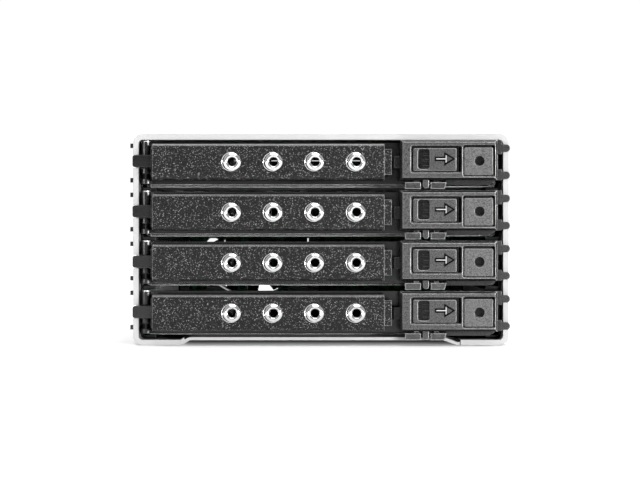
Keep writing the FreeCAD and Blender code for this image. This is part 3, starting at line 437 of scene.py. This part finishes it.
def mark_rim():
    """Dead black rim round the arrow."""
    finish = Finish("mark_rim", {"Specular IOR Level": 0.3})
    grit = finish.noise(0.4)
    finish.feed("Base Color", finish.grey(grit.evened(), 0.002, 0.006))
    finish.feed("Metallic", grit.evened(0.8, 0.9))
    finish.feed("Roughness", grit.evened(0.3, 0.4))
    finish.relief(grit, depth_mm=0.004, edge_mm=0.05)
    return finish.material


def hinge_steel():
    """Dark turned pin whose heads are worn bright."""
    finish = Finish("hinge_steel", {})
    marks = finish.noise(0.5, 3.0, 0.6, finish.stretched((1.0, 1.0, 4.0)))
    head = abs(finish.along_piece("Z") - 0.5).spread(0.4, 0.43)
    finish.feed("Base Color", finish.mix(head, finish.grey(marks, 0.01, 0.03), finish.grey(marks, 0.7, 0.9)))
    finish.feed("Metallic", head.between(1.0, 0.6))
    finish.feed("Roughness", marks.evened(0.25, 0.4))
    finish.relief(marks, depth_mm=0.008, edge_mm=0.1)
    return finish.material


def plated(name, base, rough, grain_mm):
    """Bright plated metal with fine turning marks, and painted shade in its hollows, where its colour is
    darker.
    """
    finish = Finish(name, {"Metallic": 1.0})
    marks = finish.noise(grain_mm, 3.0, 0.6, finish.stretched((1.0, 3.0, 1.0)))
    tone = marks.evened()
    # Painted shade: darker colour inside hollows and slots.
    clear = finish.open_to_light(2.5)
    painted_shade_colour = finish.grey(tone, base * 0.3, base * 0.4)
    finish.feed("Base Color", finish.mix(clear, painted_shade_colour, finish.grey(tone, base - 0.12, base)))
    finish.feed("Roughness", marks.evened(rough, rough + 0.12))
    finish.relief(marks, depth_mm=0.008, edge_mm=0.1)
    return finish.material


def circuit_board():
    """Green solder mask over copper tracks and pads."""
    finish = Finish("circuit_board", {"Coat Roughness": 0.15})
    tracks = finish.cells(3.2, "Distance", finish.stretched((1.0, 0.0, 1.0)))
    fine = finish.noise(0.4, 3.0)
    line = tracks.spread(0.42, 0.5)
    finish.feed("Base Color", finish.mix(line, (0.006, 0.05, 0.02, 1), (0.02, 0.13, 0.05, 1)))
    finish.feed("Roughness", fine.evened(0.3, 0.45))
    finish.relief(line * 0.8 + fine * 0.2, depth_mm=0.03, edge_mm=0.05)
    return finish.material


def lamp_body():
    """Milky lamp casting."""
    finish = Finish("lamp_body", {"Subsurface Weight": 0.2, "Subsurface Radius": (0.001, 0.001, 0.001)})
    haze = finish.noise(0.6)
    finish.feed("Base Color", finish.grey(haze, 0.6, 0.8))
    finish.feed("Roughness", haze.evened(0.25, 0.4))
    finish.relief(haze, depth_mm=0.01, edge_mm=0.1)
    return finish.material


FINISHES = {
    "zinc_sheet": zinc_sheet("zinc_sheet", base=0.42, grain_along=(1.0, 0.12, 1.0),
                             edge_tone=0.56, painted_edge_tone=0.38, edge_mm=0.4),
    "bright_sheet": zinc_sheet("bright_sheet", base=0.8, grain_along=(0.12, 1.0, 1.0),
                               edge_tone=0.97, painted_edge_tone=1.0, edge_mm=0.5, painted_shadow_to_mm=49.0),
    "powder_coat": powder_coat(),
    "bezel_plastic": bezel_plastic("bezel_plastic", painted_shade_behind_mm=-3.8, coat_tones=(0.02, 0.085),
                                   sheen_behind=1.0, edge_tone=0.9),
    "black_plastic": black_plastic(),
    "fan_plastic": black_plastic(),
    "clear_plastic": clear_plastic(),
    "chrome_plate": plated("chrome_plate", base=0.86, rough=0.08, grain_mm=1.2),
    "bright_steel": plated("bright_steel", base=0.5, rough=0.26, grain_mm=0.5),
    "spring_steel": plated("spring_steel", base=0.55, rough=0.25, grain_mm=0.4),
    "circuit_board": circuit_board(),
    "lamp_body": lamp_body(),
}

# Finishes of single pieces, which differ from the rest of their slot.
OWN_FINISHES = {
    "slide_latch": bezel_plastic("slide_plastic", painted_shade_behind_mm=-5.2, coat_tones=(0.02, 0.09),
                                 sheen_behind=0.0, edge_tone=0.7),
    "lock_button": bezel_plastic("button_plastic", painted_shade_behind_mm=-5.1, coat_tones=(0.036, 0.15),
                                 sheen_behind=0.0, edge_tone=0.45),
    "hinge_pin": hinge_steel(),
    "sunk_mark": sunk_mark(painted_highlight_to_mm=48.3),
    "mark_rim": mark_rim(),
}


# ---------------------------------------------------------------- solids carried over

def coat(piece, finish):
    """Leaves a piece with one finish."""
    piece.data.materials.clear()
    piece.data.materials.append(finish)


def dress_solids():
    """Gives every solid of the cage the finish of its slot, or its own form of it."""
    for name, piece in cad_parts.items():
        slot = piece.material_slots[0].material.name.split(".")[0]
        kind = name.rstrip("_1234")
        coat(piece, OWN_FINISHES.get(kind) or FINISHES[slot])


dress_solids()


# ---------------------------------------------------------------- mesh makers

def link_mesh(name, made):
    """Turns a finished bmesh into an object of the scene."""
    mesh = bpy.data.meshes.new(name)
    made.to_mesh(mesh)
    made.free()
    piece = bpy.data.objects.new(name, mesh)
    bpy.context.scene.collection.objects.link(piece)
    return piece


def new_piece(name, mesh_maker, body, slot, own_finish=None):
    """Makes a piece in the finish of one of the record's slots, or its own form of it, riding on a body."""
    made = bmesh.new()
    mesh_maker(made)
    bmesh.ops.recalc_face_normals(made, faces=made.faces)
    piece = link_mesh(name, made)
    coat(piece, own_finish or FINISHES[slot])
    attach(piece, body)
    return piece


def walls(made, rings, smooth=False):
    """Adds the walls between closed rings of vertices of equal count."""
    for first, second in zip(rings, rings[1:]):
        for i in range(len(first)):
            j = (i + 1) % len(first)
            made.faces.new((first[i], first[j], second[j], second[i])).smooth = smooth


def turned(made, profile, centre):
    """Adds a smooth surface turned about a centre line to the front. profile is (radius, height) pairs."""
    side = FORWARD.orthogonal().normalized()
    arms = [Matrix.Rotation(2 * math.pi * i / TURNED_STEPS, 3, FORWARD) @ side for i in range(TURNED_STEPS)]
    walls(made, [[made.verts.new(Vector(centre) + FORWARD * height + arm * radius) for arm in arms]
                 for radius, height in profile], smooth=True)


def rounded_profile(points, steps=4):
    """Smooth profile through (radius, height) points: cubic spans whose slopes follow the points beside."""
    smooth = []
    for i in range(len(points) - 1):
        before = Vector(points[max(i - 1, 0)])
        start = Vector(points[i])
        end = Vector(points[i + 1])
        after = Vector(points[min(i + 2, len(points) - 1)])
        for k in range(steps):
            t = k / steps
            smooth.append(0.5 * (2 * start + (end - before) * t
                                 + (2 * before - 5 * start + 4 * end - after) * t * t
                                 + (3 * start - before - 3 * end + after) * t ** 3))
    smooth.append(Vector(points[-1]))
    return [(p.x, p.y) for p in smooth]


# ---------------------------------------------------------------- eyelets

def eyelet_profile(outer, proud):
    """Flange, domed crest, funnel and barrel of a rolled eyelet. Heights rise towards the front."""
    flange = [(outer, 0.0), (outer, 0.12 * MM), (outer - 0.12 * MM, 0.3 * MM)]
    crest = [(outer - 0.42 * MM, proud * 0.6), (outer - 0.9 * MM, proud * 0.98),
             (outer - 1.25 * MM, proud * 0.94)]
    funnel = [(EYELET_BORE + 0.28 * MM, proud * 0.55), (EYELET_BORE + 0.06 * MM, 0.0),
              (EYELET_BORE, -0.6 * MM)]
    rolled = [(EYELET_BORE, -EYELET_BARREL), (EYELET_BORE + 0.3 * MM, -EYELET_BARREL - 0.5 * MM),
              (outer - 0.9 * MM, -EYELET_BARREL - 0.4 * MM), (outer - 0.6 * MM, -EYELET_BARREL)]
    return rounded_profile(flange + crest + funnel) + rolled


def washer_profile(outer):
    """Thin domed ring just wider than the eyelet."""
    return rounded_profile([
        (outer + 0.25 * MM, 0.0), (outer + 0.22 * MM, 0.12 * MM), (outer + 0.05 * MM, 0.2 * MM),
        (outer - 0.12 * MM, 0.12 * MM), (outer - 0.15 * MM, 0.0)])


def make_eyelets(tray):
    """The chrome eyelets of one handle."""
    low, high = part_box(f"eyelets_{tray}")
    outer = (high.z - low.z) / 2
    height = (high.z + low.z) / 2
    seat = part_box(f"handle_{tray}")[0].y
    pitch = (high.x - low.x - 2 * outer) / (EYELETS_PER_HANDLE - 1)
    profile = eyelet_profile(outer, seat - low.y)
    washer = washer_profile(outer)

    def maker(made):
        for i in range(EYELETS_PER_HANDLE):
            middle = low.x + outer + i * pitch
            turned(made, profile, (middle, seat, height))
            turned(made, washer, (middle - WASHER_SHIFT, seat, height))

    piece = new_piece(f"eyelet_rings_{tray}", maker, f"handle_{tray}", "chrome_plate")
    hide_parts(f"eyelets_{tray}")


# ---------------------------------------------------------------- arrow on the slide

def arrow_outline(tail, neck, tip, half, wing):
    """Corners of an arrow along +X about height nought, from the lower tail round to the upper tail."""
    return [(tail, -half), (neck, -half), (neck, -wing), (tip, 0), (neck, wing), (neck, half), (tail, half)]


def ringed(made, rings):
    """Adds walls between outlines of equal count, each a list of points, and closes the last one."""
    lines = [[made.verts.new(point) for point in ring] for ring in rings]
    walls(made, lines)
    made.faces.new(lines[-1])


def make_arrow(tray):
    """Arrow on the slide's face, pointing the way the slide travels: a thin rim round a sunk middle."""
    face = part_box(f"slide_latch_{tray}")[0].y
    button_low, button_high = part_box(f"lock_button_{tray}")
    tip = button_low.x - ARROW_TO_BUTTON
    tail = tip - ARROW_LENGTH
    neck = tip - ARROW_HEAD
    height = (button_low.z + button_high.z) / 2 + ARROW_RISE

    outer = arrow_outline(tail, neck - 0.1 * MM, tip + 0.1 * MM, 0.85 * MM, 2.7 * MM)
    crest = arrow_outline(tail + 0.1 * MM, neck, tip - 0.1 * MM, 0.75 * MM, 2.5 * MM)
    inner = arrow_outline(tail + 0.55 * MM, neck + 0.45 * MM, tip - 0.95 * MM, 0.2 * MM, 1.5 * MM)
    sunk = arrow_outline(tail + 0.6 * MM, neck + 0.55 * MM, tip - 1.15 * MM, 0.16 * MM, 1.35 * MM)

    def ring(outline, y):
        return [(x, y, height + z) for x, z in outline]

    rim = [ring(outer, face + ARROW_SEAT), ring(outer, face - 0.03 * MM), ring(crest, face - 0.28 * MM),
           ring(inner, face - 0.22 * MM), ring(inner, face)]
    middle = [ring(inner, face + ARROW_SEAT), ring(inner, face - 0.25 * MM), ring(sunk, face - 0.15 * MM)]
    for name, rings, own_finish in (("arrow_rim", rim, "mark_rim"), ("arrow_middle", middle, "sunk_mark")):
        new_piece(f"{name}_{tray}", lambda made: ringed(made, rings), f"latch_{tray}", "bezel_plastic",
                  OWN_FINISHES[own_finish])


# ---------------------------------------------------------------- return springs

def wavy_strip(made, low, high, along, across):
    """Adds a strip spring that fills a box: folded in waves along one axis, swinging across another."""
    middle = (low[across] + high[across]) / 2
    reach = (high[across] - low[across] - STRIP_THICKNESS) / 2
    length = high[along] - low[along]
    rings = []
    for i in range(STRIP_STEPS + 1):
        t = i / STRIP_STEPS
        phase = 2 * math.pi * STRIP_WAVES * t
        slope = 2 * math.pi * STRIP_WAVES * math.cos(phase) * reach / length
        lean = 1 / math.hypot(1, slope)
        ring = []
        for side, z in ((-1, low.z), (1, low.z), (1, high.z), (-1, high.z)):
            out = side * lean * STRIP_THICKNESS / 2
            point = Vector((0, 0, z))
            point[along] = min(max(low[along] + length * t - out * slope, low[along]), high[along])
            point[across] = middle + reach * math.sin(phase) + out
            ring.append(made.verts.new(point))
        rings.append(ring)
    walls(made, rings)
    made.faces.new(rings[0])
    made.faces.new(rings[-1])


def make_springs(tray):
    """The strip springs behind one tray's latch and button."""
    corners = [vertex.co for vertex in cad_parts[f"return_springs_{tray}"].data.vertices]
    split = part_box(f"lock_button_{tray}")[0].x
    springs = (
        ("latch_spring", "latch_slide", 0, 1, LATCH_TRAVEL, [co for co in corners if co.x < split]),
        ("button_spring", "button_push", 1, 0, BUTTON_TRAVEL, [co for co in corners if co.x > split]),
    )
    for name, joint, along, across, travel, points in springs:
        low = Vector([min(co[i] for co in points) for i in range(3)])
        high = Vector([max(co[i] for co in points) for i in range(3)])
        piece = new_piece(f"{name}_{tray}", lambda made: wavy_strip(made, low, high, along, across),
                          f"tray_{tray}", "spring_steel")
        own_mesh(piece)
        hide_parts(f"return_springs_{tray}")


for tray in TRAYS:
    make_eyelets(tray)
    make_arrow(tray)
    make_springs(tray)


# ---------------------------------------------------------------- studio

def make_floor():
    """Wide pale floor lit from below, with a painted shadow under the cage, where it is dark and gives off no
    light.
    """
    made = bmesh.new()
    corners = ((-1, -1), (1, -1), (1, 1), (-1, 1))
    made.faces.new([made.verts.new((x * FLOOR_HALF, y * FLOOR_HALF, 0)) for x, y in corners])
    bmesh.ops.subdivide_edges(made, edges=made.edges, cuts=4, use_grid_fill=True)
    floor = link_mesh("studio_floor", made)
    finish = Finish("floor_paint", {"Specular IOR Level": 0.0, "Emission Strength": 0.14})
    soft = finish.noise(40.0)
    # Painted shadow under the cage: a dark patch that gives off no light.
    deep = abs(finish.axis("Y") - SLEEVE_MIDDLE).spread(50 * MM, 72 * MM, 1.0, 0.0)
    wide = abs(finish.axis("X")).spread(56 * MM, 70 * MM, 1.0, 0.0)
    floor_painted_shadow = (deep * wide).kept()
    finish.feed("Base Color", finish.mix(floor_painted_shadow, finish.grey(soft, 0.93, 0.95), plain_grey(0.03)))
    finish.feed("Emission Color", finish.grey(floor_painted_shadow, 1.0, 0.0))
    finish.feed("Roughness", soft.evened(0.3, 0.34))
    floor.data.materials.append(finish.material)


def make_backdrop():
    """White wall all round, far off, that only the camera sees."""
    made = bmesh.new()
    turns = [2 * math.pi * i / WALL_STEPS for i in range(WALL_STEPS)]
    walls(made, [[made.verts.new((WALL_RADIUS * math.cos(turn), WALL_RADIUS * math.sin(turn), z))
                  for turn in turns] for z in WALL_HEIGHTS])
    wall = link_mesh("studio_wall", made)
    finish = Finish("wall_paint", {"Specular IOR Level": 0.0, "Emission Strength": 1.03})
    soft = finish.noise(400.0)
    finish.feed("Base Color", finish.grey(soft, 0.0, 0.01))
    finish.feed("Emission Color", finish.grey(soft, 0.98, 1.0))
    wall.data.materials.append(finish.material)
    wall.visible_diffuse = wall.visible_glossy = wall.visible_transmission = wall.visible_shadow = False


def make_world():
    """Even studio room, white behind the cage and dark in front of it, where the camera stands."""
    world = bpy.data.worlds.new("studio")
    bpy.context.scene.world = world
    world.use_nodes = True
    room = Nodes(world.node_tree)
    way = room.node("TexCoord", {}, {}, "Generated")
    rearward = room.node("SeparateXYZ", {}, {0: way}, "Y")
    room.join(room.tree.nodes["Background"].inputs["Color"], rearward.spread(-0.4, 0.5, 0.3, 1.05))


def link_light(name, data, way):
    """Adds a light that shines along a way."""
    light = bpy.data.objects.new(name, data)
    light.rotation_euler = way.to_track_quat("-Z", "Y").to_euler()
    bpy.context.scene.collection.objects.link(light)
    return light


def make_sun(name, way, power, softness):
    """Soft light from one way, even over the whole floor. softness is its width in degrees."""
    data = bpy.data.lights.new(name, "SUN")
    data.energy = power
    data.angle = math.radians(softness)
    link_light(name, data, -Vector(way))


def make_light(name, place, size, power):
    """Low soft light that shines level into the gaps between the trays."""
    data = bpy.data.lights.new(name, "AREA")
    data.shape = "RECTANGLE"
    data.size, data.size_y = size
    data.energy = power
    light = link_light(name, data, Vector(LIGHTS_AIM) - Vector(place))
    light.location = place
    light.visible_camera = False


make_floor()
make_backdrop()
make_world()
make_sun("sky_light", way=(0.05, -0.12, 1.0), power=1.9, softness=50)
make_light("right_light", place=(0.95, -0.95, 0.11), size=(0.5, 0.22), power=20.0)
make_light("left_light", place=(-1.0, -1.03, 0.11), size=(0.4, 0.18), power=3.6)
bpy.context.scene.view_settings.view_transform = "Standard"
